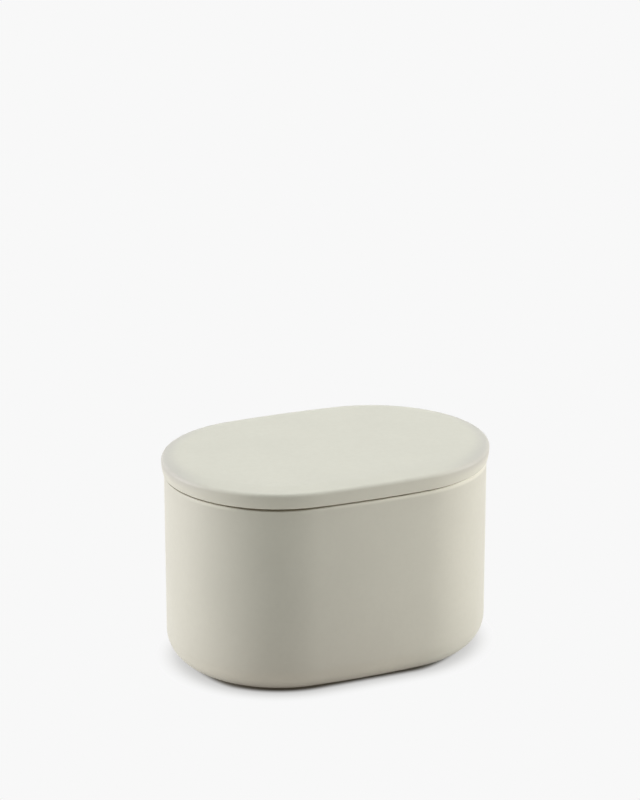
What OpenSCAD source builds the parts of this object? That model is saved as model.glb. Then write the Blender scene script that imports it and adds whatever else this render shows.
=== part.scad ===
// A ceramic jar of stadium plan, with straight sides, two half-round ends and a flat lid that lifts off.
// X runs along the jar, Y across it and Z up. The origin is under its centre, on the surface it stands on.
// The jar, its lid and the sealing ring on the lid share one plan, so each is one half profile swept round it.

/* [Jar] */
// Length of the jar, from end to end
jar_length = 150; // [120:1:240]
// Width of the jar, from side to side
jar_width = 105; // [80:1:140]
// Height of the rim above the surface that the jar stands on
rim_height = 88.9; // [50:0.1:180]
// Thickness of the upright wall
wall = 5; // [3.5:0.1:7]
// Thickness of the jar's floor, over the foot
floor_thickness = 6; // [4:0.1:10]
// Radius of the lower outside edge
base_radius = 14; // [6:0.5:20]
// Radius between the wall and the floor, inside the jar
inside_radius = 9; // [3:0.5:18]
// Rounding of the rim's inner edge
rim_rounding = 1; // [0.4:0.1:1.5]
// Width of the rim's flat top, on which the lid rests
rest_width = 1.5; // [1:0.1:2]
// How far the rim lies lower outside that flat, which leaves a fine dark line under the lid
shadow_gap = 0.7; // [0.3:0.1:1.2]
// Rounding of the wall's upper outside edge
ledge_rounding = 0.5; // [0.2:0.1:0.6]
// Width of the flat foot that the jar stands on
foot_width = 5; // [3:0.5:12]
// Depth of the recess inside the foot
foot_recess = 1.2; // [0.5:0.1:2.5]
// Rounding of the edge between the foot and its recess
foot_rounding = 0.5; // [0.2:0.1:0.5]

/* [Lid] */
// Height of the lid's top above the rim
lid_thickness = 8.4; // [6.5:0.1:12]
// How far the lid stands out past the jar where it is widest, on every side
lid_overhang = 1.2; // [0.2:0.1:3]
// Radius of the soft shoulder between the lid's flat top and its edge
lid_shoulder_radius = 25; // [15:1:60]
// Width of that shoulder
lid_shoulder_width = 7; // [2:0.5:12]
// Radius of the lid's upper edge
lid_edge_radius = 2; // [0.5:0.1:4]
// How far the lid's side comes in again, from its widest place down to the rim
lid_tuck = 0.8; // [0.2:0.1:1.2]
// Rounding of the lid's lower edge
lid_lower_rounding = 0.4; // [0.2:0.1:1]
// Thickness of the lid's plate, over the hollow inside its skirt
plate_thickness = 5.8; // [3:0.1:6.4]
// How far the skirt reaches down into the jar
skirt_depth = 10; // [9:0.5:16]
// Thickness of the skirt
skirt_thickness = 4.5; // [3.5:0.1:8]
// Clearance between the skirt and the wall of the jar
skirt_clearance = 1.5; // [0.8:0.1:2.5]
// Rounding of the skirt's lower edges
skirt_rounding = 1; // [0.4:0.1:1.5]
// Radius between the skirt and the plate, inside the lid
lid_hollow_radius = 2; // [0.5:0.1:4]

/* [Sealing ring] */
// Distance from the rim down to the groove that holds the ring
groove_drop = 2.5; // [1:0.1:3.5]
// Height of the groove
groove_height = 4; // [3:0.1:5]
// Depth of the groove in the skirt
groove_depth = 2; // [1:0.1:2.5]
// Clearance between the ring and its groove
ring_clearance = 0.1; // [0.05:0.01:0.2]
// Gap between the tips of the ring's lips and the wall of the jar
lip_clearance = 0.3; // [0.2:0.05:0.4]
// Number of lips round the ring
lip_count = 2; // [1:1:3]
// Height of a lip where it leaves the ring
lip_root = 1.1; // [0.6:0.1:1.2]
// Height of a lip at its tip
lip_tip = 0.5; // [0.3:0.1:0.6]
// How far the tip of a lip lies above its root
lip_rise = 0.3; // [0:0.1:0.5]

/* [Hidden] */
$fn = 96;
// How far a cut runs past the face that it opens
overrun = 1;
// The plan: two half circles, this far apart between their centres
straight = jar_length - jar_width;
jar_half = jar_width / 2;
bore_half = jar_half - wall;
rest_outer = bore_half + rim_rounding + rest_width;
ledge_height = rim_height - shadow_gap;
foot_outer = jar_half - base_radius;
foot_inner = foot_outer - foot_width;
lid_half = jar_half + lid_overhang;
lid_top = rim_height + lid_thickness;
// The lid's outside is four arcs, each tangent to the next: shoulder, edge, side and lower edge.
// Each arc's centre is at its x and y, and its end is the height where the next arc takes over.
shoulder_slope = asin(lid_shoulder_width / lid_shoulder_radius);
shoulder_to_edge = lid_shoulder_radius - lid_edge_radius;
shoulder_y = lid_top - lid_shoulder_radius;
edge_x = lid_half - lid_edge_radius;
edge_y = shoulder_y + shoulder_to_edge * cos(shoulder_slope);
shoulder_x = edge_x - shoulder_to_edge * sin(shoulder_slope);
shoulder_end = edge_y + lid_edge_radius * cos(shoulder_slope);
side_height = edge_y - rim_height;
side_radius = (side_height ^ 2 + lid_tuck ^ 2) / (2 * lid_tuck);
side_x = lid_half - side_radius;
lower_y = rim_height + lid_lower_rounding;
lower_x = side_x + sqrt((side_radius - lid_lower_rounding) ^ 2 - (edge_y - lower_y) ^ 2);
side_end = edge_y - (edge_y - lower_y) * side_radius / (side_radius - lid_lower_rounding);
skirt_outer = bore_half - skirt_clearance;
skirt_inner = skirt_outer - skirt_thickness;
skirt_bottom = rim_height - skirt_depth;
groove_top = rim_height - groove_drop;
groove_bottom = groove_top - groove_height;
groove_inner = skirt_outer - groove_depth;
ring_inner = groove_inner + ring_clearance;
ring_bottom = groove_bottom + ring_clearance;
ring_height = groove_height - 2 * ring_clearance;
lip_reach = bore_half - lip_clearance;
lip_pitch = ring_height / lip_count;

// Sweeps the half profile given as its child round the plan.
// The profile's x is the distance from the plan's centre line, and its y is the height.
module round_the_plan() {
    for (side = [-1, 1])
        translate([side * straight / 2, 0, 0])
            rotate([0, 0, -side * 90])
                rotate_extrude(angle = 180)
                    children();
    rotate([90, 0, 90])
        linear_extrude(height = straight, center = true) {
            children();
            mirror([1, 0])
                children();
        }
}

// A rectangle between two distances and two heights
module block(from_x, to_x, from_y, to_y) {
    translate([from_x, from_y])
        square([to_x - from_x, to_y - from_y]);
}

// What a corner at x, y loses when it is rounded. toward_x and toward_y, each 1 or -1, say which way
// the corner points.
module corner_waste(x, y, toward_x, toward_y, radius) {
    size = radius + overrun;
    translate([x - toward_x * radius, y - toward_y * radius])
        difference() {
            translate([toward_x > 0 ? 0 : -size, toward_y > 0 ? 0 : -size])
                square(size);
            circle(r = radius);
        }
}

// The space inside the jar, open at the top
module cavity_profile() {
    difference() {
        block(-overrun, bore_half, floor_thickness, rim_height + overrun);
        corner_waste(bore_half, floor_thickness, 1, -1, inside_radius);
    }
}

// The shallow space under the jar, inside its foot
module foot_recess_profile() {
    block(-overrun, foot_inner, -overrun, foot_recess);
}

module jar_profile() {
    difference() {
        block(0, jar_half, 0, rim_height);
        corner_waste(jar_half, 0, 1, -1, base_radius);
        block(rest_outer, jar_half + overrun, ledge_height, rim_height + overrun);
        corner_waste(jar_half, ledge_height, 1, 1, ledge_rounding);
        cavity_profile();
        corner_waste(bore_half, rim_height, -1, 1, rim_rounding);
        foot_recess_profile();
        corner_waste(foot_inner, 0, -1, -1, foot_rounding);
    }
}

// What the lid's outside loses between two heights, where it follows an arc with its centre at x, y
module arc_waste(x, y, radius, from_y, to_y) {
    difference() {
        block(x, lid_half + overrun, from_y, to_y);
        translate([x, y])
            circle(r = radius);
    }
}

// The plate of the lid, which rests on the rim. The shoulder and the side, which are the two large arcs,
// cut past the ends of the small ones, where the small ones cut deeper.
module plate_profile() {
    difference() {
        block(0, lid_half, rim_height, lid_top);
        arc_waste(shoulder_x, shoulder_y, lid_shoulder_radius, shoulder_end - overrun, lid_top + overrun);
        arc_waste(edge_x, edge_y, lid_edge_radius, edge_y, shoulder_end);
        arc_waste(side_x, edge_y, side_radius, rim_height - overrun, edge_y + overrun);
        arc_waste(lower_x, lower_y, lid_lower_rounding, rim_height - overrun, side_end);
    }
}

// The skirt under the plate, still filled in, which keeps the lid in place on the jar
module skirt_profile() {
    difference() {
        block(0, skirt_outer, skirt_bottom, rim_height + lid_thickness / 2);
        corner_waste(skirt_outer, skirt_bottom, 1, -1, skirt_rounding);
    }
}

// The space inside the skirt, under the plate
module lid_hollow_profile() {
    difference() {
        block(-overrun, skirt_inner, skirt_bottom - overrun, lid_top - plate_thickness);
        corner_waste(skirt_inner, lid_top - plate_thickness, 1, 1, lid_hollow_radius);
    }
}

// The groove round the skirt, for the sealing ring
module groove_profile() {
    block(groove_inner, skirt_outer + overrun, groove_bottom, groove_top);
}

module lid_profile() {
    difference() {
        union() {
            plate_profile();
            skirt_profile();
        }
        lid_hollow_profile();
        corner_waste(skirt_inner, skirt_bottom, -1, -1, skirt_rounding);
        groove_profile();
    }
}

// One soft lip, which slopes up from the ring towards the wall of the jar
module lip_profile(middle) {
    polygon([
        [ring_inner, middle - lip_root / 2],
        [skirt_outer, middle - lip_root / 2],
        [lip_reach, middle + lip_rise - lip_tip / 2],
        [lip_reach, middle + lip_rise + lip_tip / 2],
        [skirt_outer, middle + lip_root / 2],
        [ring_inner, middle + lip_root / 2]
    ]);
}

module seal_profile() {
    block(ring_inner, skirt_outer, ring_bottom, ring_bottom + ring_height);
    for (i = [0 : lip_count - 1])
        lip_profile(ring_bottom + (i + 1 / 2) * lip_pitch);
}

// The jar itself, one ceramic shell
module jar_body() {
    color("#cdcabd")
        round_the_plan()
            jar_profile();
}

// The lid, one ceramic plate with its skirt
module lid() {
    color("#d6d4c8")
        round_the_plan()
            lid_profile();
}

// The silicone ring in the skirt's groove, drawn as it lies inside the jar
module lid_seal() {
    color("#a3a19b")
        round_the_plan()
            seal_profile();
}

jar_body();
lid();
lid_seal();
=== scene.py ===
"""A ceramic jar of stadium plan with a flat lift-off lid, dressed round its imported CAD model.

Lengths are in metres, in the CAD model's frame: X along the jar, Y across it and Z up.
"""
import math

import bmesh
import bpy
from bpy.props import FloatProperty, FloatVectorProperty, IntProperty, PointerProperty
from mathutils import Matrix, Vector


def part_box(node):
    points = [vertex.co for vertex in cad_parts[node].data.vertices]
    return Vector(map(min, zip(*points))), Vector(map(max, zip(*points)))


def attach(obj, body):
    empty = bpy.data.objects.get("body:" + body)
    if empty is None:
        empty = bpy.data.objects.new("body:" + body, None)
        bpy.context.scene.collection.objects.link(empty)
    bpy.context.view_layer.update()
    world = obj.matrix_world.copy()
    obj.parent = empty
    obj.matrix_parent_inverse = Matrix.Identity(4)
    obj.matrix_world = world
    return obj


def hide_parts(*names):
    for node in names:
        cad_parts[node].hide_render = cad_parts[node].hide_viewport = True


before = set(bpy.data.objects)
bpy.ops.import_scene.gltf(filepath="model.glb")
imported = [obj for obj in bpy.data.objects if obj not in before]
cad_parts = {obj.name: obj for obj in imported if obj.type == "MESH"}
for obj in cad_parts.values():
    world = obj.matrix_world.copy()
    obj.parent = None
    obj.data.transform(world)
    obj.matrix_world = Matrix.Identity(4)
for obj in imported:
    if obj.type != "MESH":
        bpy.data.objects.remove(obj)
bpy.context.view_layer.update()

bl_info = {
    "name": "Lidded Jar",
    "version": (1, 0, 0),
    "blender": (4, 5, 0),
    "location": "View3D > Sidebar > Jar",
    "description": "Makes a ceramic jar of stadium plan, its lift-off lid and its sealing ring",
    "category": "Add Mesh",
}

MM = 0.001
JAR_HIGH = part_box("jar_body")[1]
LID_LOW, LID_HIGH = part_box("lid")
SEAL_LOW, SEAL_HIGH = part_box("lid_seal")

# Two places on a profile closer than this are the same place
SAME_PLACE = 0.02 * MM
# Edges that turn more sharply than this are drawn sharp
SHARP_ANGLE = math.radians(35)
# The visual pieces stay this far inside the sides of the CAD box
HAIR = 0.001 * MM
# In how many segments each rounding and each arc is made
BASE_SEGMENTS = 24
INSIDE_SEGMENTS = 16
RIM_SEGMENTS = 8
FOOT_SEGMENTS = 5
SKIRT_SEGMENTS = 6
HOLLOW_SEGMENTS = 8
LIP_SEGMENTS = 4
SHOULDER_STEPS = 8
EDGE_STEPS = 12
SIDE_STEPS = 8
LOWER_STEPS = 6
# How wide and how many the rings are that keep the shading of a flat face flat
FLAT_RING = 1 * MM
FLAT_RINGS = 2
# Between which places along the jar its ledge rises to its right end
LEDGE_RISE = (12 * MM, 50 * MM)
# Where the ledge dips, seen from above, and how far from there the dip reaches
LEDGE_DIP = Vector((-45, -47)) * MM
LEDGE_DIP_REACH = 30 * MM

# How large the glaze's clouds, mottles, eggshell bumps and grain are, and how deep its surface is
CLOUDS = 26 * MM
MOTTLES = 2.4 * MM
EGGSHELL = 0.9 * MM
GRAIN = 0.22 * MM
GLAZE_DEPTH = 0.06 * MM
# The specks: how far apart their cells lie, their radius, and the share of the cells that have one
SMALL_SPECKS = (3.2 * MM, 0.16 * MM, 0.10)
LARGE_SPECKS = (12 * MM, 0.3 * MM, 0.22)
# Where the lid's painted shade fades in: along the painted light's line, outwards on the plan, and up from
# the rim
PAINTED_SHADE_ENDS = (45 * MM, 72 * MM)
PAINTED_SHADE_EDGE = (44 * MM, 52 * MM)
PAINTED_SHADE_UPPER = (2 * MM, 6 * MM)
# Where the painted highlight on the wall's upper edge fades out: down from the ledge and inwards from the
# wall
PAINTED_HIGHLIGHT_BAND = (0.6 * MM, 2.2 * MM)
PAINTED_HIGHLIGHT_BAND_SHARE = 0.6
PAINTED_HIGHLIGHT_INSIDE = (1.2 * MM, 2 * MM)
# Along the painted light's line, the stretch on the left that has the painted highlight, and from where the
# right has it
PAINTED_HIGHLIGHT_LEFT = (-68 * MM, -54 * MM)
PAINTED_HIGHLIGHT_LEFT_END = (-46 * MM, -34 * MM)
PAINTED_HIGHLIGHT_LEFT_SHARE = 0.75
PAINTED_HIGHLIGHT_RIGHT = (-30 * MM, 35 * MM)
PAINTED_HIGHLIGHT_LEAST_SHARE = 0.2
# How far down from the ledge a face counts as one of the rim's
RIM_FACES = (1 * MM, 1.2 * MM)
# How far a face of the rim looks up where the rounding's painted highlight fades in, and where the bare clay
# does
ROUNDED_SLOPE = (0.05, 0.3)
FLAT_SLOPE = (0.92, 0.98)
# The glaze's lower line over the foot: how far it wanders, over what length, and how soft it is
LINE_WANDER = 0.5 * MM
LINE_LENGTH = 7 * MM
LINE_SOFTNESS = 0.12 * MM
CLAY_GRAIN = 0.5 * MM
# The silicone's dust, its grain and its depth, and how far red, green and blue light scatter in it
DUST = 1.5 * MM
SILICONE_GRAIN = 0.3 * MM
SILICONE_DEPTH = 0.03 * MM
SILICONE_SCATTER = (1.2 * MM, 1.1 * MM, 1 * MM)

# Each softbox: how far it is turned from the studio's front and how far it is raised, both in degrees, its
# distance from the jar's middle and its side
SOFTBOXES = {
    "top": (0, 90, 1.5, 1.2),
    "left": (-93, 7.5, 1.3, 0.45),
    "right": (95, 12, 1.3, 0.45),
}
# How far the floor reaches, and in how many segments its outline is made
FLOOR_RADIUS = 4
FLOOR_SEGMENTS = 96
# The floor's shadow, painted as darker paper that also takes the lamps' real shade, outwards from the plan's
# centre line: where its dark core and its soft rim fade out
SHADOW_CORE = (42.5 * MM, 47 * MM)
SHADOW_CORE_SHARE = 0.55
SHADOW_RIM = (42 * MM, 57 * MM)
# How far beside the jar's middle the painted shadow's core gets narrower, and by how much
SHADOW_ENDS = (40 * MM, 62 * MM)
SHADOW_CUT = 3 * MM
# Colour of the darker paper that paints the shadow round the base
SHADOW_COLOUR = (0.405, 0.4, 0.365, 1)
# How far to the left and to the right of the jar's middle, seen from the studio's front, the floor's light
# on the jar fades in
LEFT_BOUNCE = (30 * MM, 105 * MM)
RIGHT_BOUNCE = (15 * MM, 115 * MM)
# The floor's light from the front: how far to the right its middle lies, where it fades out to each side of
# there and outwards from the plan's centre line, and where it fades in towards the front
FRONT_BOUNCE_MIDDLE = -12 * MM
FRONT_BOUNCE = (40 * MM, 85 * MM)
FRONT_BOUNCE_REACH = (70 * MM, 130 * MM)
FRONT_BOUNCE_START = (0.0, 50 * MM)
# Outwards from the plan's centre line, between which places the floor's light on the jar grows to its full
# strength, the share of it that is there at first, and how pale the floor is for the jar
NEAR_FLOOR = (44 * MM, 64 * MM)
NEAR_FLOOR_SHARE = 0.35
FLOOR_PALENESS = 0.5
# What the photograph's frame measures, in pixels, and the width of the camera's sensor in millimetres
FRAME_WIDTH = 640
FRAME_HEIGHT = 800
SENSOR_WIDTH = 36


class JarSizes(bpy.types.PropertyGroup):
    """Sizes of the jar that its CAD box doesn't give"""
    side_radius: FloatProperty(
        name="Side Radius", description="Radius of the long sides, which bow out very slightly",
        default=400 * MM, unit="LENGTH")
    wall: FloatProperty(
        name="Wall", description="Thickness of the upright wall", default=5 * MM, unit="LENGTH")
    floor_thickness: FloatProperty(
        name="Floor", description="Thickness of the floor, over the foot",
        default=6 * MM, unit="LENGTH")
    base_radius: FloatProperty(
        name="Base Radius", description="Radius of the lower outside edge",
        default=14 * MM, unit="LENGTH")
    inside_radius: FloatProperty(
        name="Inside Radius", description="Radius between the wall and the floor",
        default=9 * MM, unit="LENGTH")
    rim_rounding: FloatProperty(
        name="Rim Rounding", description="Rounding of the rim's inner edge",
        default=1 * MM, unit="LENGTH")
    rest_width: FloatProperty(
        name="Rest Width", description="Width of the rim's flat top, on which the lid rests",
        default=1.5 * MM, unit="LENGTH")
    shadow_gap: FloatProperty(
        name="Shadow Gap", description="How far the ledge outside that flat lies below it, under the lid",
        default=0.7 * MM, unit="LENGTH")
    ledge_rounding: FloatProperty(
        name="Ledge Rounding", description="Rounding of the ledge's outside edge, at the top of the wall",
        default=0.5 * MM, unit="LENGTH")
    ledge_rise: FloatProperty(
        name="Ledge Rise",
        description="How much higher the ledge lies at the right end, where its line fades",
        default=0.4 * MM, unit="LENGTH")
    ledge_dip: FloatProperty(
        name="Ledge Dip",
        description="How much lower the ledge lies at its dip, where its line is broadest",
        default=0.4 * MM, unit="LENGTH")
    foot_width: FloatProperty(
        name="Foot Width", description="Width of the flat foot", default=5 * MM, unit="LENGTH")
    foot_recess: FloatProperty(
        name="Foot Recess", description="Depth of the recess inside the foot",
        default=1.2 * MM, unit="LENGTH")
    foot_rounding: FloatProperty(
        name="Foot Rounding", description="Rounding of the foot's inner edge",
        default=0.5 * MM, unit="LENGTH")
    turn_steps: IntProperty(
        name="Turn Steps", description="Steps round each half-round end", default=96, min=24)


class LidSizes(bpy.types.PropertyGroup):
    """Sizes of the lid that its CAD box doesn't give"""
    shoulder_radius: FloatProperty(
        name="Shoulder Radius",
        description="Radius of the soft shoulder between the flat top and the edge",
        default=25 * MM, unit="LENGTH")
    shoulder_width: FloatProperty(
        name="Shoulder Width", description="Width of that shoulder", default=7 * MM, unit="LENGTH")
    edge_radius: FloatProperty(
        name="Edge Radius", description="Radius of the lid's upper edge", default=2 * MM, unit="LENGTH")
    tuck: FloatProperty(
        name="Tuck", description="How far the side comes in again, from its widest place down to the rim",
        default=0.8 * MM, unit="LENGTH")
    lower_rounding: FloatProperty(
        name="Lower Rounding", description="Rounding of the lid's lower edge",
        default=0.4 * MM, unit="LENGTH")
    plate_thickness: FloatProperty(
        name="Plate", description="Thickness of the plate, over the hollow",
        default=5.8 * MM, unit="LENGTH")
    skirt_thickness: FloatProperty(
        name="Skirt", description="Thickness of the skirt", default=4.5 * MM, unit="LENGTH")
    skirt_clearance: FloatProperty(
        name="Skirt Clearance", description="Gap between the skirt and the jar's wall",
        default=1.5 * MM, unit="LENGTH")
    skirt_rounding: FloatProperty(
        name="Skirt Rounding", description="Rounding of the skirt's lower edges",
        default=1 * MM, unit="LENGTH")
    hollow_radius: FloatProperty(
        name="Hollow Radius", description="Radius between the skirt and the plate",
        default=2 * MM, unit="LENGTH")
    groove_depth: FloatProperty(
        name="Groove Depth", description="Depth of the groove for the ring",
        default=2 * MM, unit="LENGTH")
    ring_clearance: FloatProperty(
        name="Ring Clearance", description="Clearance between the ring and its groove",
        default=0.1 * MM, unit="LENGTH")


class SealSizes(bpy.types.PropertyGroup):
    """Sizes of the sealing ring that its CAD box doesn't give"""
    lip_count: IntProperty(name="Lips", description="Number of lips round the ring", default=2, min=1)
    lip_root: FloatProperty(
        name="Lip Root", description="Height of a lip where it leaves the ring",
        default=1.1 * MM, unit="LENGTH")
    lip_tip: FloatProperty(
        name="Lip Tip", description="Height of a lip at its tip", default=0.5 * MM, unit="LENGTH")
    lip_rise: FloatProperty(
        name="Lip Rise", description="How far a lip's tip lies above its root",
        default=0.3 * MM, unit="LENGTH")
    tip_rounding: FloatProperty(
        name="Tip Rounding", description="Rounding of a lip's tip", default=0.2 * MM, unit="LENGTH")


class Finishes(bpy.types.PropertyGroup):
    """Colours of the glaze, the bare clay and the silicone, the painted shade on the lid's ends, and which
    way the painted shade and highlight change
    """
    glaze: FloatVectorProperty(
        name="Glaze", description="Colour of the satin glaze", subtype="COLOR", size=3,
        default=(0.674, 0.672, 0.598), min=0, max=1)
    clay: FloatVectorProperty(
        name="Bare Clay", description="Colour of the fired clay where the foot and the rim are wiped bare",
        subtype="COLOR", size=3, default=(0.60, 0.53, 0.43), min=0, max=1)
    # Painted shade: the colour that the glaze is multiplied by round the lid's two ends
    painted_lid_end_shade: FloatVectorProperty(
        name="Lid Ends", description="How the glaze's colour is multiplied round the lid's two ends",
        subtype="COLOR", size=3, default=(0.84, 0.835, 0.87), min=0, max=1)
    speck: FloatVectorProperty(
        name="Specks", description="Colour of the few specks in the glaze", subtype="COLOR", size=3,
        default=(0.38, 0.33, 0.26), min=0, max=1)
    silicone: FloatVectorProperty(
        name="Silicone", description="Colour of the sealing ring", subtype="COLOR", size=3,
        default=(0.42, 0.41, 0.38), min=0, max=1)
    glaze_roughness: FloatProperty(
        name="Glaze Roughness", description="Roughness of the satin glaze", default=0.5, min=0, max=1)
    # The line along which the painted shade on the lid's ends and the painted highlight on the wall's edge
    # change
    painted_light_turn: FloatProperty(
        name="Tone Turn",
        description="How far the line along which the glaze's tone changes is turned from X",
        subtype="ANGLE", default=math.radians(-24.08))


class StageSettings(bpy.types.PropertyGroup):
    """Where the photograph was taken from, and how the studio is turned and lit"""
    camera_azimuth: FloatProperty(
        name="Azimuth", description="Which way the camera stands from the jar, 0 being its front",
        subtype="ANGLE", default=math.radians(-24.08))
    camera_elevation: FloatProperty(
        name="Elevation", description="How far the camera stands above the horizon",
        subtype="ANGLE", default=math.radians(21.167))
    camera_distance: FloatProperty(
        name="Distance", description="From the camera to the jar's middle", default=1.296, unit="LENGTH")
    focal_pixels: FloatProperty(
        name="Focal Length", description="Focal length, in pixels of the photograph", default=2828)
    middle_column: FloatProperty(
        name="Middle Column", description="Pixel column where the jar's middle is seen", default=326.29)
    middle_row: FloatProperty(
        name="Middle Row", description="Pixel row where the jar's middle is seen", default=554.16)
    studio_turn: FloatProperty(
        name="Studio Turn", description="Which way the studio's front lies from the jar, 0 being its front",
        subtype="ANGLE", default=math.radians(-24.08))
    background: FloatProperty(
        name="Background", description="Brightness of the background, where 1 is white", default=0.939)
    top_power: FloatVectorProperty(
        name="Top Power", description="Red, green and blue watts of the softbox over the jar", size=3,
        default=(21.6, 21.7, 21.1), min=0)
    left_power: FloatVectorProperty(
        name="Left Power", description="Red, green and blue watts of the left softbox", size=3,
        default=(8.75, 8.3, 8.5), min=0)
    right_power: FloatVectorProperty(
        name="Right Power", description="Red, green and blue watts of the right softbox", size=3,
        default=(8.1, 7.75, 7.55), min=0)
    left_bounce: FloatVectorProperty(
        name="Left Bounce", description="Light that the jar gets from the floor on its left", size=3,
        default=(0.61, 0.595, 0.51), min=0)
    right_bounce: FloatVectorProperty(
        name="Right Bounce", description="Light that the jar gets from the floor on its right", size=3,
        default=(0.67, 0.63, 0.545), min=0)
    front_bounce: FloatVectorProperty(
        name="Front Bounce", description="Light that the jar gets from the floor in front of it", size=3,
        default=(0.36, 0.30, 0.25), min=0)


class Plan:
    """The plan that every piece shares: two round ends and two long sides that bow out very slightly, each
    tangent to the next. A distance is measured from the jar's middle, at the middle of a long side."""

    def __init__(self):
        side_radius = bpy.context.scene.jar_sizes.side_radius
        length = JAR_HIGH.x
        width = JAR_HIGH.y
        self.side_y = side_radius - width
        end_radius = (side_radius + length - self.side_y ** 2 / (side_radius - length)) / 2
        self.end_x = length - end_radius
        self.end_step = width - end_radius
        self.half_turn = math.atan2(self.end_x, self.side_y)

    def distance(self, point):
        """How far out a point lies, seen from above"""
        along = abs(point.x)
        across = abs(point.y)
        if along * self.side_y < self.end_x * (across + self.side_y):
            return math.hypot(along, across + self.side_y) - self.side_y
        return math.hypot(along - self.end_x, across) + self.end_step

    def sweep(self, mesh, steps):
        """Sweeps the half profile that a pen has drawn round the plan"""
        end_turn = math.pi - 2 * self.half_turn
        side_steps = max(round(steps / 8), 2)
        geometry = list(mesh.verts) + list(mesh.edges)
        for x, y, turn, count in (
                (0, self.side_y, self.half_turn, side_steps), (self.end_x, 0, end_turn, steps),
                (0, -self.side_y, 2 * self.half_turn, 2 * side_steps), (-self.end_x, 0, end_turn, steps),
                (0, self.side_y, self.half_turn, side_steps)):
            geometry = bmesh.ops.spin(
                mesh, geom=geometry, cent=(x, y, 0), axis=(0, 0, 1), angle=turn,
                steps=count, use_merge=False, use_duplicate=False)["geom_last"]
        bmesh.ops.remove_doubles(mesh, verts=mesh.verts, dist=SAME_PLACE)


class Pen:
    """Draws a half profile where the plan's long side has its middle. Its places are (distance, height)."""

    def __init__(self, mesh, distance, height):
        self.mesh = mesh
        self.first = self.last = mesh.verts.new((0, -distance, height))

    def line(self, *places):
        """Draws straight on to each place in turn"""
        for distance, height in places:
            vert = self.mesh.verts.new((0, -distance, height))
            self.mesh.edges.new((self.last, vert))
            self.last = vert

    def arc(self, distance, height, turn, steps):
        """Turns round a centre, first outwards where the pen is over it"""
        drawn = bmesh.ops.spin(
            self.mesh, geom=[self.last], cent=(0, -distance, height), axis=(1, 0, 0), angle=turn,
            steps=steps, use_merge=False, use_duplicate=False)["geom_last"]
        self.last = drawn[0]

    def close(self):
        """Draws straight back to the first place"""
        self.mesh.edges.new((self.last, self.first))


def close_ends(mesh):
    """Fills the open loops of a swept profile with flat faces, and turns every face outwards"""
    edges = [edge for edge in mesh.edges if edge.is_boundary]
    bmesh.ops.holes_fill(mesh, edges=edges, sides=0)
    bmesh.ops.recalc_face_normals(mesh, faces=mesh.faces)


def smooth_step(value, low, high):
    """0 up to low, 1 from high on, and a soft step between them"""
    part = min(max((value - low) / (high - low), 0), 1)
    return part * part * (3 - 2 * part)


def loop_at(mesh, distance, height):
    """The edges that run round the plan at one distance and height"""
    plan = Plan()

    def here(vert):
        off = math.hypot(plan.distance(vert.co) - distance, vert.co.z - height)
        return off < SAME_PLACE
    return [edge for edge in mesh.edges if here(edge.verts[0]) and here(edge.verts[1])]


def round_loop(mesh, distance, height, radius, segments):
    """Rounds the edge that runs round the plan at one distance and height"""
    bmesh.ops.bevel(
        mesh, geom=loop_at(mesh, distance, height), offset=radius, offset_type="OFFSET",
        segments=segments, profile=0.5, affect="EDGES", clamp_overlap=False, material=-1)


def widest_flat(mesh, height):
    """The large face that lies flat at a height"""
    flat = [face for face in mesh.faces if abs(face.calc_center_median().z - height) < SAME_PLACE]
    return max(flat, key=lambda face: face.calc_area())


def ring_flat(mesh, height):
    """Insets the flat face at a height by a few rings, so that its shading stays flat"""
    for _ in range(FLAT_RINGS):
        bmesh.ops.inset_region(
            mesh, faces=[widest_flat(mesh, height)], thickness=FLAT_RING, use_even_offset=True)


def finish_piece(mesh, name, node, body, material):
    """Turns the mesh into a piece that stands for a CAD node"""
    for face in mesh.faces:
        face.smooth = True
    for edge in mesh.edges:
        edge.smooth = edge.calc_face_angle(0) < SHARP_ANGLE
    data = bpy.data.meshes.new(name)
    mesh.to_mesh(data)
    mesh.free()
    piece = bpy.data.objects.new(name, data)
    bpy.context.scene.collection.objects.link(piece)
    data.materials.append(material)
    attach(piece, body)
    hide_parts(node)
    return piece


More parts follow.
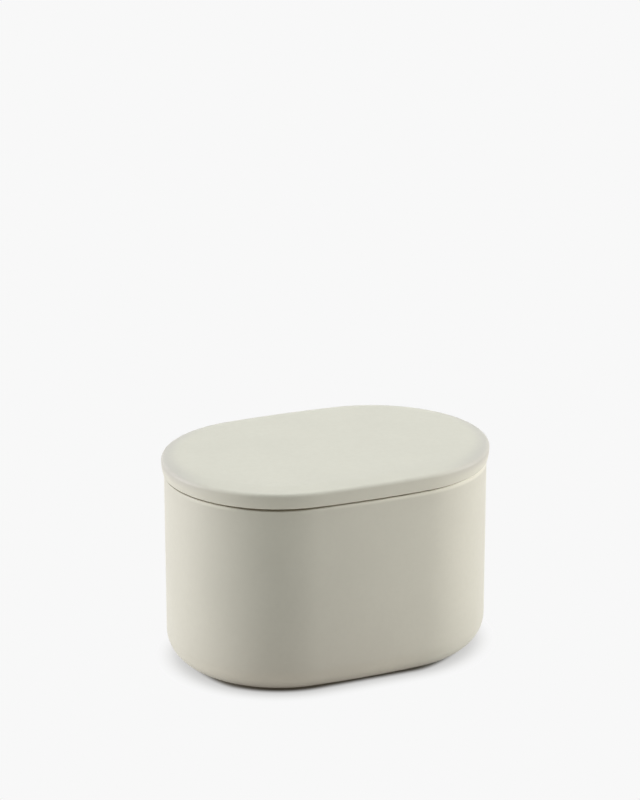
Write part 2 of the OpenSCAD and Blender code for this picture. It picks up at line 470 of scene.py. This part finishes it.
class NodeTree:
    """A material or world node tree, and short ways to add to it"""

    def __init__(self, owner):
        owner.use_nodes = True
        self.nodes = owner.node_tree.nodes
        self.links = owner.node_tree.links

    def add(self, kind, inputs=None, **settings):
        node = self.nodes.new(kind)
        for key, value in settings.items():
            setattr(node, key, value)
        for key, value in (inputs or {}).items():
            if isinstance(value, bpy.types.NodeSocket):
                self.links.new(value, node.inputs[key])
            else:
                node.inputs[key].default_value = value
        return node

    def math(self, operation, first, second=0.0, clamp=False):
        node = self.add("ShaderNodeMath", {0: first, 1: second}, operation=operation, use_clamp=clamp)
        return node.outputs[0]

    def ramp(self, value, low, high, to_low=0.0, to_high=1.0):
        """Value read from low to high, as a smooth step from to_low to to_high"""
        node = self.add(
            "ShaderNodeMapRange",
            {"Value": value, "From Min": low, "From Max": high, "To Min": to_low, "To Max": to_high},
            interpolation_type="SMOOTHSTEP")
        return node.outputs["Result"]

    def mix_colour(self, factor, first, second, blend="MIX"):
        node = self.add("ShaderNodeMix", data_type="RGBA", blend_type=blend)
        for socket, value in ((node.inputs[0], factor), (node.inputs[6], first), (node.inputs[7], second)):
            if isinstance(value, bpy.types.NodeSocket):
                self.links.new(value, socket)
            else:
                socket.default_value = value
        return node.outputs[2]

    def noise(self, place, size, detail=3.0, roughness=0.5):
        """Noise whose clouds are about size metres across"""
        node = self.add(
            "ShaderNodeTexNoise",
            {"Vector": place, "Scale": 1 / size, "Detail": detail, "Roughness": roughness})
        return node.outputs["Fac"]

    def along(self, place, turn):
        """How far a place lies to the right along a line through the middle, which is turned from X"""
        direction = (math.cos(turn), math.sin(turn), 0)
        node = self.add("ShaderNodeVectorMath", {0: place, 1: direction}, operation="DOT_PRODUCT")
        return node.outputs["Value"]

    def product(self, *factors):
        """The product of two or more values"""
        result = factors[0]
        for factor in factors[1:]:
            result = self.math("MULTIPLY", result, factor)
        return result

    def plan_distance(self, place):
        """How far out a place lies on the plan, taken as two half circles and the straight between them"""
        plan = Plan()
        axes = self.add("ShaderNodeSeparateXYZ", {"Vector": place}).outputs
        past = self.math("SUBTRACT", self.math("ABSOLUTE", axes["X"]), plan.end_x)
        past = self.math("MAXIMUM", past, 0.0)
        flat = self.add("ShaderNodeCombineXYZ", {"X": past, "Y": axes["Y"]})
        length = self.add("ShaderNodeVectorMath", {0: flat.outputs[0]}, operation="LENGTH")
        return length.outputs["Value"]

    def seen_by_camera(self):
        """1 for rays from the camera and for those that a gloss or a clear face sends on, 0 for the rest"""
        path = self.add("ShaderNodeLightPath").outputs
        seen = self.math("MAXIMUM", path["Is Camera Ray"], path["Is Glossy Ray"])
        return self.math("MAXIMUM", seen, path["Is Transmission Ray"])

    def specks(self, place, spacing, radius, share):
        """Small round specks, one in each of a share of the cells that are spacing metres apart"""
        cells = self.add("ShaderNodeTexVoronoi", {"Vector": place, "Scale": 1 / spacing, "Randomness": 1.0})
        edge = radius / spacing
        near = self.ramp(cells.outputs["Distance"], 0.55 * edge, edge, 1.0, 0.0)
        split = self.add("ShaderNodeSeparateColor", {"Color": cells.outputs["Color"]})
        chosen = self.math("LESS_THAN", split.outputs["Red"], share)
        return self.math("MULTIPLY", near, chosen)


def rgba(colour, value=1.0):
    return (colour[0] * value, colour[1] * value, colour[2] * value, 1.0)


def glaze_material(name, add_painted_light_and_clay):
    """Satin stone glaze: faint clouds, a few specks and a soft eggshell surface. add_painted_light_and_clay
    adds what only one piece has: the lid's painted shade, or the jar's painted highlight and its bare clay."""
    finishes = bpy.context.scene.jar_finishes
    material = bpy.data.materials.new(name)
    tree = NodeTree(material)
    shader = tree.nodes["Principled BSDF"]
    place = tree.add("ShaderNodeTexCoord").outputs["Object"]
    clouds = tree.noise(place, CLOUDS, 4.0)
    mottle = tree.noise(place, MOTTLES, 3.0, 0.6)
    tone = tree.mix_colour(
        tree.ramp(clouds, 0.3, 0.7), rgba(finishes.glaze, 0.985), rgba(finishes.glaze, 1.012))
    tone = tree.mix_colour(
        tree.ramp(mottle, 0.35, 0.7, 0.0, 0.35), tone, rgba(finishes.glaze, 0.965))
    small = tree.math("MULTIPLY", tree.specks(place, *SMALL_SPECKS), 0.35)
    large = tree.math("MULTIPLY", tree.specks(place, *LARGE_SPECKS), 0.6)
    dots = tree.math("MAXIMUM", small, large)
    tone = tree.mix_colour(dots, tone, rgba(finishes.speck))
    roughness = tree.ramp(
        mottle, 0.3, 0.7, finishes.glaze_roughness - 0.03, finishes.glaze_roughness + 0.04)
    bumps = tree.math("MULTIPLY", tree.noise(place, EGGSHELL, 2.0), 0.7)
    grain = tree.math("MULTIPLY", tree.noise(place, GRAIN, 2.0), 0.3)
    height = tree.math("SUBTRACT", tree.math("ADD", bumps, grain), tree.math("MULTIPLY", dots, 0.5))
    tone, roughness, height = add_painted_light_and_clay(tree, place, tone, roughness, height)
    bump = tree.add("ShaderNodeBump", {"Strength": 0.25, "Distance": GLAZE_DEPTH, "Height": height})
    tree.links.new(tone, shader.inputs["Base Color"])
    tree.links.new(roughness, shader.inputs["Roughness"])
    tree.links.new(bump.outputs["Normal"], shader.inputs["Normal"])
    shader.inputs["IOR"].default_value = 1.5
    return material


def paint_lid_end_shade(tree, place, tone, roughness, height):
    """Paints shade on the lid's glaze: a greyer colour round its upper edge at the two ends"""
    finishes = bpy.context.scene.jar_finishes
    high = tree.add("ShaderNodeSeparateXYZ", {"Vector": place}).outputs["Z"]
    ends = tree.ramp(tree.math("ABSOLUTE", tree.along(place, finishes.painted_light_turn)), *PAINTED_SHADE_ENDS)
    edge = tree.ramp(tree.plan_distance(place), *PAINTED_SHADE_EDGE)
    upper = tree.ramp(tree.math("SUBTRACT", high, JAR_HIGH.z), *PAINTED_SHADE_UPPER)
    # Painted shade: the glaze turns greyer round the upper edge at the lid's two ends
    grey = tree.mix_colour(tree.product(ends, edge, upper), (1, 1, 1, 1), rgba(finishes.painted_lid_end_shade))
    return tree.mix_colour(1.0, tone, grey, "MULTIPLY"), roughness, height


def paint_jar_edge_highlight_and_clay(tree, place, tone, roughness, height):
    """Paints a highlight along the wall's upper edge and its rounding, and ends the glaze at the bare rim
    and foot
    """
    finishes = bpy.context.scene.jar_finishes
    facing = tree.add("ShaderNodeTexCoord").outputs["Normal"]
    upward = tree.add("ShaderNodeSeparateXYZ", {"Vector": facing}).outputs["Z"]
    high = tree.add("ShaderNodeSeparateXYZ", {"Vector": place}).outputs["Z"]
    ledge = JAR_HIGH.z - bpy.context.scene.jar_sizes.shadow_gap
    below = tree.math("SUBTRACT", ledge, high)
    on_rim = tree.ramp(below, *RIM_FACES, 1.0, 0.0)
    band = tree.ramp(below, *PAINTED_HIGHLIGHT_BAND, PAINTED_HIGHLIGHT_BAND_SHARE, 0.0)
    rounding = tree.product(tree.ramp(upward, *ROUNDED_SLOPE), on_rim)
    inwards = tree.math("SUBTRACT", JAR_HIGH.y, tree.plan_distance(place))
    outer = tree.ramp(inwards, *PAINTED_HIGHLIGHT_INSIDE, 1.0, 0.0)
    # Painted highlight: along the wall's upper edge and its rounding the glaze is made 1.4 times as bright,
    # most on the right
    painted_highlight = tree.product(tree.math("MAXIMUM", band, rounding), outer, painted_highlight_share(tree, place))
    tone = tree.mix_colour(painted_highlight, tone, rgba(finishes.glaze, 1.4))
    wiped = tree.product(tree.ramp(upward, *FLAT_SLOPE), on_rim)
    tone = tree.mix_colour(wiped, tone, rgba(finishes.clay, 0.8))
    wander = tree.math("MULTIPLY", tree.noise(place, LINE_LENGTH), LINE_WANDER)
    bare = tree.ramp(tree.math("SUBTRACT", high, wander), 0.0, LINE_SOFTNESS, 1.0, 0.0)
    clay = tree.mix_colour(
        tree.ramp(tree.noise(place, CLAY_GRAIN, 4.0, 0.7), 0.35, 0.7),
        rgba(finishes.clay, 0.9), rgba(finishes.clay, 1.06))
    tone = tree.mix_colour(bare, tone, clay)
    roughness = tree.math("ADD", roughness, tree.math("MULTIPLY", bare, 0.35), clamp=True)
    height = tree.math("MULTIPLY", height, tree.math("ADD", tree.math("MULTIPLY", bare, 2.0), 1.0))
    return tone, roughness, height


def painted_highlight_share(tree, place):
    """How much painted highlight the wall's upper edge has, along the painted light's line"""
    right = tree.along(place, bpy.context.scene.jar_finishes.painted_light_turn)
    left_stretch = tree.product(
        tree.ramp(right, *PAINTED_HIGHLIGHT_LEFT), tree.ramp(right, *PAINTED_HIGHLIGHT_LEFT_END, PAINTED_HIGHLIGHT_LEFT_SHARE, 0.0))
    return tree.math("MAXIMUM", left_stretch, tree.ramp(right, *PAINTED_HIGHLIGHT_RIGHT, PAINTED_HIGHLIGHT_LEAST_SHARE, 1.0))


def silicone_material():
    """Soft grey silicone with a dull, slightly dusty face"""
    finishes = bpy.context.scene.jar_finishes
    material = bpy.data.materials.new("sealing_silicone")
    tree = NodeTree(material)
    shader = tree.nodes["Principled BSDF"]
    place = tree.add("ShaderNodeTexCoord").outputs["Object"]
    dust = tree.noise(place, DUST, 4.0, 0.6)
    tone = tree.mix_colour(
        tree.ramp(dust, 0.4, 0.75), rgba(finishes.silicone), rgba(finishes.silicone, 1.12))
    grain = tree.noise(place, SILICONE_GRAIN)
    bump = tree.add("ShaderNodeBump", {"Strength": 0.2, "Distance": SILICONE_DEPTH, "Height": grain})
    tree.links.new(tone, shader.inputs["Base Color"])
    tree.links.new(tree.ramp(dust, 0.3, 0.7, 0.5, 0.62), shader.inputs["Roughness"])
    tree.links.new(bump.outputs["Normal"], shader.inputs["Normal"])
    shader.inputs["IOR"].default_value = 1.41
    shader.inputs["Subsurface Weight"].default_value = 0.25
    shader.inputs["Subsurface Radius"].default_value = SILICONE_SCATTER
    shader.inputs["Subsurface Scale"].default_value = 1.0
    return material


class MakeJar(bpy.types.Operator):
    """Make the ceramic jar, with its rounded base, its rim and its bare foot"""
    bl_idname = "lidded_jar.make_jar"
    bl_label = "Make Jar"

    def execute(self, context):
        sizes = context.scene.jar_sizes
        outside = JAR_HIGH.y - HAIR
        bore = outside - sizes.wall
        rim = JAR_HIGH.z
        rest_outer = bore + sizes.rim_rounding + sizes.rest_width
        ledge = rim - sizes.shadow_gap
        foot_inner = outside - sizes.base_radius - sizes.foot_width
        mesh = bmesh.new()
        pen = Pen(mesh, foot_inner, sizes.foot_recess)
        pen.line(
            (foot_inner, 0), (outside, 0), (outside, ledge), (rest_outer, ledge), (rest_outer, rim),
            (bore, rim), (bore, sizes.floor_thickness))
        Plan().sweep(mesh, sizes.turn_steps)
        close_ends(mesh)
        round_loop(mesh, outside, 0, sizes.base_radius, BASE_SEGMENTS)
        round_loop(mesh, bore, sizes.floor_thickness, sizes.inside_radius, INSIDE_SEGMENTS)
        round_loop(mesh, outside, ledge, sizes.ledge_rounding, RIM_SEGMENTS)
        round_loop(mesh, bore, rim, sizes.rim_rounding, RIM_SEGMENTS)
        round_loop(mesh, foot_inner, 0, sizes.foot_rounding, FOOT_SEGMENTS)
        ring_flat(mesh, sizes.floor_thickness)
        ring_flat(mesh, sizes.foot_recess)
        self.bend_ledge(mesh, sizes, rest_outer, rim)
        glaze = glaze_material("jar_glaze", paint_jar_edge_highlight_and_clay)
        finish_piece(mesh, "jar_shell", "jar_body", "jar", glaze)
        return {"FINISHED"}

    def bend_ledge(self, mesh, sizes, inner, rim):
        """Bends the ledge up at the right end and down at its dip, with the edge outside it"""
        plan = Plan()
        low = rim - sizes.shadow_gap - sizes.ledge_rounding
        for vert in mesh.verts:
            on_ledge = low - SAME_PLACE < vert.co.z < rim - SAME_PLACE
            if on_ledge and plan.distance(vert.co) > inner - SAME_PLACE:
                rise = smooth_step(vert.co.x, *LEDGE_RISE)
                dip = 1 - smooth_step((vert.co.xy - LEDGE_DIP).length, 0, LEDGE_DIP_REACH)
                vert.co.z += sizes.ledge_rise * rise - sizes.ledge_dip * dip


class MakeLid(bpy.types.Operator):
    """Make the ceramic lid, with its flat plate, its skirt and the groove for the ring"""
    bl_idname = "lidded_jar.make_lid"
    bl_label = "Make Lid"

    def execute(self, context):
        sizes = context.scene.lid_sizes
        outside = LID_HIGH.y - HAIR
        top = LID_HIGH.z
        rim = JAR_HIGH.z
        bottom = LID_LOW.z
        plate_low = top - sizes.plate_thickness
        skirt_outer = JAR_HIGH.y - context.scene.jar_sizes.wall - sizes.skirt_clearance
        skirt_inner = skirt_outer - sizes.skirt_thickness
        groove_inner = skirt_outer - sizes.groove_depth
        groove_low = SEAL_LOW.z - sizes.ring_clearance
        groove_high = SEAL_HIGH.z + sizes.ring_clearance
        mesh = bmesh.new()
        pen = self.draw_outside(mesh, sizes, outside, top, rim)
        pen.line(
            (skirt_outer, rim), (skirt_outer, groove_high), (groove_inner, groove_high),
            (groove_inner, groove_low), (skirt_outer, groove_low), (skirt_outer, bottom),
            (skirt_inner, bottom), (skirt_inner, plate_low))
        Plan().sweep(mesh, context.scene.jar_sizes.turn_steps)
        close_ends(mesh)
        round_loop(mesh, skirt_outer, bottom, sizes.skirt_rounding, SKIRT_SEGMENTS)
        round_loop(mesh, skirt_inner, bottom, sizes.skirt_rounding, SKIRT_SEGMENTS)
        round_loop(mesh, skirt_inner, plate_low, sizes.hollow_radius, HOLLOW_SEGMENTS)
        ring_flat(mesh, plate_low)
        ring_flat(mesh, top)
        glaze = glaze_material("lid_glaze", paint_lid_end_shade)
        finish_piece(mesh, "lid_shell", "lid", "lid_and_seal", glaze)
        return {"FINISHED"}

    def draw_outside(self, mesh, sizes, outside, top, rim):
        """Draws the soft shoulder, the edge, the side and the lower edge, as four arcs in one smooth line"""
        slope = math.asin(sizes.shoulder_width / sizes.shoulder_radius)
        apart = sizes.shoulder_radius - sizes.edge_radius
        edge_distance = outside - sizes.edge_radius
        edge_height = top - sizes.shoulder_radius + apart * math.cos(slope)
        shoulder_distance = edge_distance - apart * math.sin(slope)
        depth = edge_height - rim
        side_radius = (depth ** 2 + sizes.tuck ** 2) / (2 * sizes.tuck)
        side_distance = outside - side_radius
        side_turn = math.asin((depth - sizes.lower_rounding) / (side_radius - sizes.lower_rounding))
        lower_distance = side_distance + (side_radius - sizes.lower_rounding) * math.cos(side_turn)
        pen = Pen(mesh, shoulder_distance, top)
        pen.arc(shoulder_distance, top - sizes.shoulder_radius, slope, SHOULDER_STEPS)
        pen.arc(edge_distance, edge_height, math.pi / 2 - slope, EDGE_STEPS)
        pen.arc(side_distance, edge_height, side_turn, SIDE_STEPS)
        pen.arc(lower_distance, rim + sizes.lower_rounding, math.pi / 2 - side_turn, LOWER_STEPS)
        return pen


class MakeSealingRing(bpy.types.Operator):
    """Make the silicone ring in the lid's groove, with its soft lips"""
    bl_idname = "lidded_jar.make_sealing_ring"
    bl_label = "Make Sealing Ring"

    def execute(self, context):
        sizes = context.scene.seal_sizes
        lid = context.scene.lid_sizes
        skirt_outer = JAR_HIGH.y - context.scene.jar_sizes.wall - lid.skirt_clearance
        inner = skirt_outer - lid.groove_depth + lid.ring_clearance
        reach = SEAL_HIGH.y
        low = SEAL_LOW.z
        high = SEAL_HIGH.z
        pitch = (high - low) / sizes.lip_count
        mesh = bmesh.new()
        pen = Pen(mesh, inner, low)
        pen.line((skirt_outer, low))
        tips = []
        for i in range(sizes.lip_count):
            middle = low + (i + 0.5) * pitch
            tip = middle + sizes.lip_rise
            ends = (reach, tip - sizes.lip_tip / 2), (reach, tip + sizes.lip_tip / 2)
            pen.line(
                (skirt_outer, middle - sizes.lip_root / 2), *ends,
                (skirt_outer, middle + sizes.lip_root / 2))
            tips += ends
        pen.line((skirt_outer, high), (inner, high))
        pen.close()
        Plan().sweep(mesh, context.scene.jar_sizes.turn_steps)
        bmesh.ops.recalc_face_normals(mesh, faces=mesh.faces)
        for distance, height in tips:
            round_loop(mesh, distance, height, sizes.tip_rounding, LIP_SEGMENTS)
        finish_piece(
            mesh, "sealing_ring", "lid_seal", "lid_and_seal", silicone_material())
        return {"FINISHED"}


class SetStage(bpy.types.Operator):
    """Set the pale floor, the soft studio light and the camera"""
    bl_idname = "lidded_jar.set_stage"
    bl_label = "Set Stage"

    def execute(self, context):
        settings = context.scene.stage_settings
        self.place_camera(context, settings)
        self.hang_softboxes(context, settings)
        self.light_world(context, settings)
        self.lay_floor(context, settings)
        context.scene.view_settings.view_transform = "Standard"
        return {"FINISHED"}

    def place_camera(self, context, settings):
        """Stands the camera where the photograph was taken from, level, and aims it so that the jar's middle
        falls on the pixel where the photograph has it"""
        middle = Vector((0, 0, JAR_HIGH.z / 2))
        azimuth = settings.camera_azimuth
        elevation = settings.camera_elevation
        back = Vector((
            math.sin(azimuth) * math.cos(elevation), -math.cos(azimuth) * math.cos(elevation),
            math.sin(elevation)))
        right = (settings.middle_column - FRAME_WIDTH / 2) / settings.focal_pixels
        up = (FRAME_HEIGHT / 2 - settings.middle_row) / settings.focal_pixels
        long_way = math.sqrt(1 + right * right + up * up)
        pitch = math.atan(up) + math.asin(back.z * long_way / math.sqrt(1 + up * up))
        aside = math.atan2(right, math.cos(pitch) + up * math.sin(pitch))
        data = bpy.data.cameras.new("camera")
        data.sensor_width = SENSOR_WIDTH
        data.lens = settings.focal_pixels * data.sensor_width / FRAME_HEIGHT
        camera = bpy.data.objects.new("camera", data)
        camera.location = middle + back * settings.camera_distance
        camera.rotation_euler = (math.pi / 2 - pitch, 0, azimuth + aside)
        context.scene.collection.objects.link(camera)
        context.scene.camera = camera

    def hang_softboxes(self, context, settings):
        """Hangs a wide softbox over the jar, and a small one on each side, seen from the studio's front"""
        for name, (turn, elevation, distance, side) in SOFTBOXES.items():
            around = settings.studio_turn + math.radians(turn)
            up = math.radians(elevation)
            toward = Vector((
                math.sin(around) * math.cos(up), -math.cos(around) * math.cos(up), math.sin(up)))
            power = getattr(settings, name + "_power")
            self.hang_softbox(context, name + "_softbox", toward, distance, side, power)

    def hang_softbox(self, context, name, toward, distance, side, power):
        """Hangs a square softbox that faces the jar's middle from one direction"""
        data = bpy.data.lights.new(name, "AREA")
        data.shape = "SQUARE"
        data.size = side
        data.energy = max(power)
        data.color = [value / data.energy for value in power]
        lamp = bpy.data.objects.new(name, data)
        lamp.location = toward * distance + Vector((0, 0, JAR_HIGH.z / 2))
        lamp.rotation_mode = "QUATERNION"
        lamp.rotation_quaternion = toward.to_track_quat("Z", "Y")
        lamp.visible_camera = False
        context.scene.collection.objects.link(lamp)

    def light_world(self, context, settings):
        """A pale background for the camera and for what the glaze reflects, which lights nothing else"""
        world = bpy.data.worlds.new("studio")
        context.scene.world = world
        tree = NodeTree(world)
        tree.nodes.clear()
        seen = tree.seen_by_camera()
        level = tree.math("MULTIPLY", seen, settings.background)
        shown = tree.add("ShaderNodeBackground", {"Color": (1, 1, 1, 1), "Strength": level})
        tree.add("ShaderNodeOutputWorld", {"Surface": shown.outputs[0]})

    def lay_floor(self, context, settings):
        """A wide pale floor with a painted shadow round the jar's base, which also takes real shade, fading
        into the background
        """
        mesh = bmesh.new()
        bmesh.ops.create_circle(mesh, cap_ends=True, segments=FLOOR_SEGMENTS, radius=FLOOR_RADIUS)
        data = bpy.data.meshes.new("floor")
        mesh.to_mesh(data)
        mesh.free()
        floor = bpy.data.objects.new("floor", data)
        context.scene.collection.objects.link(floor)
        data.materials.append(self.floor_material(settings))

    def floor_material(self, settings):
        """Paper that the camera sees as the background, with a painted shadow round the jar's base: darker
        paper there, which also takes the lamps' real shade, fading out by distance. The jar gets its bounced
        light from paper that is plain and has a glow."""
        material = bpy.data.materials.new("floor_paper")
        tree = NodeTree(material)
        tree.nodes.clear()
        seen = tree.seen_by_camera()
        place = tree.add("ShaderNodeTexCoord").outputs["Object"]
        away = tree.plan_distance(place)
        right = tree.along(place, settings.studio_turn)
        # Painted shadow: darker paper round the base, which also takes the lamps' real shade, cut narrower
        # beside the jar's ends and faded by distance into the plain background
        cut = tree.ramp(tree.math("ABSOLUTE", right), *SHADOW_ENDS, 0.0, SHADOW_CUT)
        core = tree.ramp(tree.math("ADD", away, cut), *SHADOW_CORE, 0.0, SHADOW_CORE_SHARE)
        rim = tree.ramp(away, *SHADOW_RIM, 0.0, 1 - SHADOW_CORE_SHARE)
        paper = tree.add("ShaderNodeBsdfDiffuse", {"Color": SHADOW_COLOUR})
        plain = tree.add("ShaderNodeEmission", {"Color": (1, 1, 1, 1), "Strength": settings.background})
        fade = tree.math("ADD", core, rim)
        shown = tree.add("ShaderNodeMixShader", {0: fade, 1: paper.outputs[0], 2: plain.outputs[0]})
        bounced = self.bounce_light(tree, place, right, away, settings)
        mixed = tree.add("ShaderNodeMixShader", {0: seen, 1: bounced.outputs[0], 2: shown.outputs[0]})
        tree.add("ShaderNodeOutputMaterial", {"Surface": mixed.outputs[0]})
        return material

    def bounce_light(self, tree, place, right, away, settings):
        """The light that the floor sends on to the jar: most from its left and right, a little from close in
        front of it, where the real table ends, and little from close to its base"""
        near = tree.ramp(away, *NEAR_FLOOR, NEAR_FLOOR_SHARE, 1.0)
        shader = tree.add("ShaderNodeBsdfDiffuse", {"Color": tree.math("MULTIPLY", near, FLOOR_PALENESS)})
        aside = tree.math("ABSOLUTE", tree.math("SUBTRACT", right, FRONT_BOUNCE_MIDDLE))
        front = tree.along(place, settings.studio_turn - math.pi / 2)
        middle = tree.product(
            tree.ramp(aside, *FRONT_BOUNCE, 1.0, 0.0), tree.ramp(away, *FRONT_BOUNCE_REACH, 1.0, 0.0),
            tree.ramp(front, *FRONT_BOUNCE_START))
        left = tree.math("MULTIPLY", right, -1.0)
        for colour, share in (
                (settings.left_bounce, tree.ramp(left, *LEFT_BOUNCE)),
                (settings.right_bounce, tree.ramp(right, *RIGHT_BOUNCE)),
                (settings.front_bounce, middle)):
            strength = tree.math("MULTIPLY", share, near)
            glow = tree.add("ShaderNodeEmission", {"Color": rgba(colour), "Strength": strength})
            shader = tree.add("ShaderNodeAddShader", {0: shader.outputs[0], 1: glow.outputs[0]})
        return shader


class JarPanel(bpy.types.Panel):
    """Lists the sizes, the colours and the steps that make the jar"""
    bl_idname = "VIEW3D_PT_lidded_jar"
    bl_label = "Lidded Jar"
    bl_space_type = "VIEW_3D"
    bl_region_type = "UI"
    bl_category = "Jar"

    def draw(self, context):
        for name in PROPERTY_GROUPS:
            group = getattr(context.scene, name)
            box = self.layout.box()
            box.label(text=name.replace("_", " ").capitalize())
            for prop in group.bl_rna.properties:
                if prop.identifier not in ("name", "rna_type"):
                    box.prop(group, prop.identifier)
        for operator in OPERATORS:
            self.layout.operator(operator.bl_idname)


OPERATORS = (MakeJar, MakeLid, MakeSealingRing, SetStage)
PROPERTY_GROUPS = {
    "jar_sizes": JarSizes,
    "lid_sizes": LidSizes,
    "seal_sizes": SealSizes,
    "jar_finishes": Finishes,
    "stage_settings": StageSettings,
}


def register():
    for cls in (*PROPERTY_GROUPS.values(), *OPERATORS, JarPanel):
        bpy.utils.register_class(cls)
    for name, group in PROPERTY_GROUPS.items():
        setattr(bpy.types.Scene, name, PointerProperty(type=group))


def unregister():
    for name in PROPERTY_GROUPS:
        delattr(bpy.types.Scene, name)
    for cls in reversed((*PROPERTY_GROUPS.values(), *OPERATORS, JarPanel)):
        bpy.utils.unregister_class(cls)


def main():
    register()
    bpy.ops.lidded_jar.make_jar()
    bpy.ops.lidded_jar.make_lid()
    bpy.ops.lidded_jar.make_sealing_ring()
    bpy.ops.lidded_jar.set_stage()


if __name__ == "__main__":
    main()
